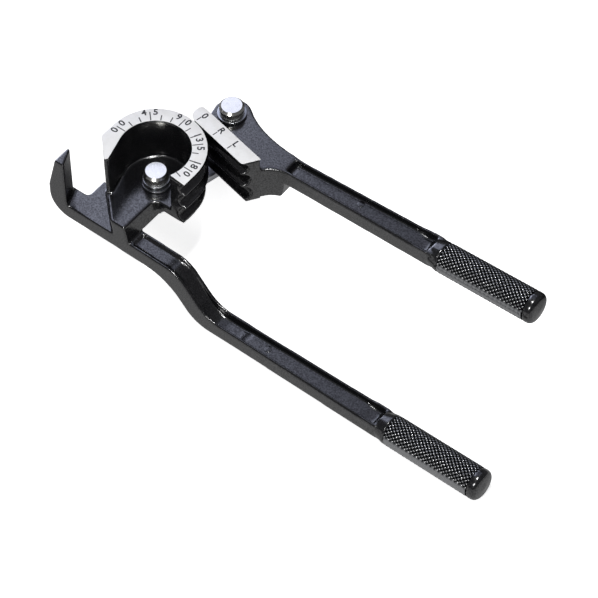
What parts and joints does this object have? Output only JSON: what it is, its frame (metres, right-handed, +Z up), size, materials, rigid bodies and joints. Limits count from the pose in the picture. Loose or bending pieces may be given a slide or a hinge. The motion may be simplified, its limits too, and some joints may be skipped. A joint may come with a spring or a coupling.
{
  "type": "tube bender",
  "caption": "Hand lever tube bender with a grooved round former and hook, a matching slide block, and two channelled handles with knurled grips.",
  "frame": {"origin": "centre of the underside of the bounding box, in the pose of the picture", "axes": "+X along the handles from the head to the grips, +Y from the lower handle towards the slide handle, +Z up along the two pins"},
  "size_m": [0.2426, 0.0836, 0.0653],
  "materials": {
    "black_enamel": "gloss black over a die casting",
    "white_scale": "white printed plate",
    "white_index": "white printed plate",
    "polished_steel": "turned and polished",
    "zinc_plate": "zinc plated"
  },
  "bodies": {
    "former": {"former_handle": "black_enamel", "degree_scale": "white_scale", "former_pin": "polished_steel", "former_spacer": "zinc_plate", "former_washer": "zinc_plate", "former_pin_washer_rear": "zinc_plate", "former_pin_clip": "zinc_plate"},
    "link": {"link_bar": "zinc_plate", "slide_pin": "polished_steel", "slide_washer": "zinc_plate", "slide_pin_washer_rear": "zinc_plate", "slide_pin_clip": "zinc_plate"},
    "slide": {"slide_handle": "black_enamel", "index_scale": "white_index"}
  },
  "joints": [
    {"name": "bend", "type": "hinge", "parent": "former", "child": "link", "pos_m": [-0.08245, -0.00977, 0.02425], "axis": [0, 0, 1], "range_deg": [-78, 102]},
    {"name": "open", "type": "hinge", "parent": "link", "child": "slide", "pos_m": [-0.07244, 0.03257, 0.02425], "axis": [0, 0, 1], "range_deg": [0, 120]}
  ]
}
